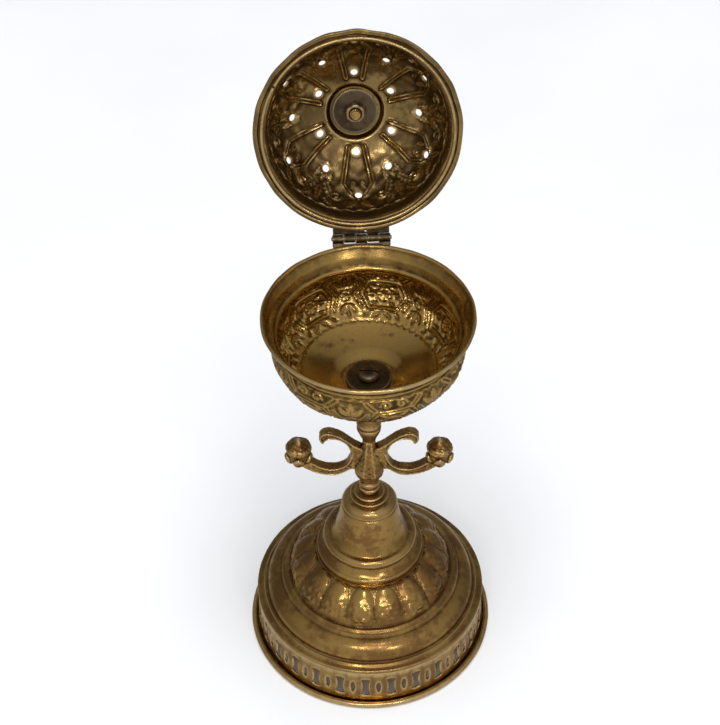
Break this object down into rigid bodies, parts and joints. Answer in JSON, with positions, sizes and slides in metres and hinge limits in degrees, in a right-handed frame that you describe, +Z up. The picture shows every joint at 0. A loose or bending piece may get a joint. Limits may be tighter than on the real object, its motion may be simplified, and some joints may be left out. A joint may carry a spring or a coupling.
{
  "type": "standing censer",
  "caption": "Footed brass incense burner: pierced gallery foot, cast scroll knop, screwed-on embossed bowl and a hinged domed lid with smoke holes.",
  "frame": {"origin": "middle of the open censer's box, on the surface it stands on", "axes": "+Z up, the longest extent; the lid's hinge is at +Y and the scroll arms lie along X"},
  "size_m": [0.1464, 0.2128, 0.3622],
  "materials": {
    "aged_brass": "spun brass with a brown-olive patina and golden wear on the edges",
    "worn_brass": "rubbed brass, brighter than the foot, dark in its hollows",
    "cast_brass": "cast brass, pitted, dull in its hollows",
    "dark_steel": "dark, sooty steel",
    "hinge_brass": "dark grey-green brass with solder marks"
  },
  "bodies": {
    "stand": {"foot_rim_ring": "aged_brass", "foot_gallery": "aged_brass", "foot_shell": "aged_brass", "foot_cone": "aged_brass", "foot_cap": "aged_brass", "stem_base_disc": "aged_brass", "stem_spool": "cast_brass", "tie_washer": "dark_steel", "tie_nut": "dark_steel", "scroll_knop": "cast_brass", "stem_collar": "cast_brass", "bowl_seat": "cast_brass", "bowl_shell": "worn_brass", "bowl_washer": "dark_steel", "bowl_screw": "dark_steel", "hinge_leaf_bowl": "hinge_brass", "hinge_pin": "hinge_brass"},
    "lid": {"lid_shell": "aged_brass", "lid_rim_wire": "aged_brass", "lid_washer": "dark_steel", "lid_nut": "dark_steel", "lid_finial": "worn_brass", "hinge_leaf_lid": "hinge_brass"}
  },
  "joints": [
    {"name": "lid_hinge", "type": "hinge", "parent": "stand", "child": "lid", "pos_m": [0, 0.02703, 0.2523], "axis": [1, 0, 0], "range_deg": [0, 109]}
  ]
}
